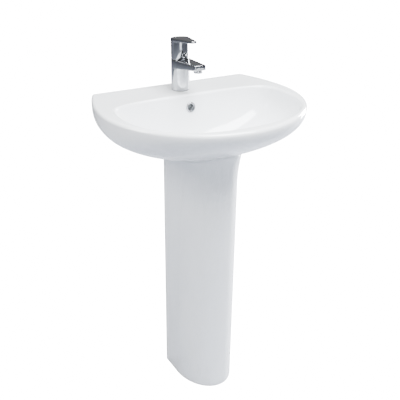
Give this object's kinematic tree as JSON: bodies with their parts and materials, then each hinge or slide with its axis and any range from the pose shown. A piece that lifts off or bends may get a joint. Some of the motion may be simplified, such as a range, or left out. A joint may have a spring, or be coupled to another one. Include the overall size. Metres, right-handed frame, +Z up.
{
  "type": "pedestal sink",
  "caption": "Wall-hung ceramic wash basin on a full pedestal, with a single-lever mixer tap, a push-open waste and a bottle trap.",
  "frame": {"origin": "on the floor, under the middle of the basin's width and halfway between the wall and the front of the rim", "axes": "+Z up, +Y towards the wall, +X to the right of a person facing the basin"},
  "size_m": [0.55, 0.46, 0.994],
  "materials": {
    "china": "white glazed vitreous china",
    "chrome": "polished chrome plate",
    "steel": "stainless steel",
    "brass": "machined brass",
    "rubber": "black sealing rubber",
    "silicone": "white silicone sealant",
    "white_plastic": "moulded white polypropylene",
    "grey_plastic": "moulded grey acetal",
    "disc_ceramic": "lapped alumina"
  },
  "bodies": {
    "root": {"basin": "china", "pedestal": "china", "pedestal_bead": "silicone", "overflow_ring": "chrome", "tap_base_seal": "rubber", "tap_body": "chrome", "hot_tail": "brass", "cold_tail": "brass", "mounting_stud": "steel", "horseshoe_seal": "rubber", "horseshoe_washer": "steel", "stud_nut": "brass", "aerator_seal": "rubber", "aerator_insert": "white_plastic", "aerator_housing": "chrome", "cartridge_seals": "rubber", "cartridge_base": "grey_plastic", "fixed_disc": "disc_ceramic", "cartridge_housing": "grey_plastic", "cartridge_nut": "brass", "cartridge_cover": "chrome", "waste_flange_seal": "rubber", "waste_body": "chrome", "waste_backnut_seal": "rubber", "waste_backnut": "brass", "latch_barrel": "white_plastic", "latch_cap": "white_plastic", "plug_spring": "steel", "trap_inlet_washer": "rubber", "trap_inlet_nut": "white_plastic", "trap_body": "white_plastic", "trap_dip_tube": "white_plastic", "trap_cup_seal": "rubber", "trap_cup": "white_plastic", "trap_outlet_washer": "rubber", "trap_outlet_nut": "white_plastic"},
    "turret": {"cartridge_turret": "grey_plastic", "stem_pin": "steel"},
    "lever": {"lever_stem": "steel", "lever_handle": "chrome", "grub_screw": "steel", "index_cap": "chrome"},
    "slider": {"moving_disc": "disc_ceramic", "disc_carrier": "grey_plastic"},
    "plug": {"plug_cap": "chrome", "plug_seal": "rubber", "plug_stem": "steel"}
  },
  "joints": [
    {"name": "lever_swivel", "type": "hinge", "parent": "root", "child": "turret", "pos_m": [0, 0.164, 0.93], "axis": [0, 0, 1], "range_deg": [-50, 50]},
    {"name": "lever_lift", "type": "hinge", "parent": "turret", "child": "lever", "pos_m": [0, 0.164, 0.93], "axis": [-1, 0, 0], "range_deg": [0, 20]},
    {"name": "disc_slide", "type": "slide", "parent": "turret", "child": "slider", "axis": [0, -1, 0], "range_m": [0, 0.0035]},
    {"name": "plug_lift", "type": "slide", "parent": "root", "child": "plug", "axis": [0, 0, 1], "range_m": [0, 0.008], "deforming": ["plug_spring"]}
  ],
  "couplings": [
    {"joint": "disc_slide", "follows": "lever_lift", "m_per_rad": 0.009}
  ]
}
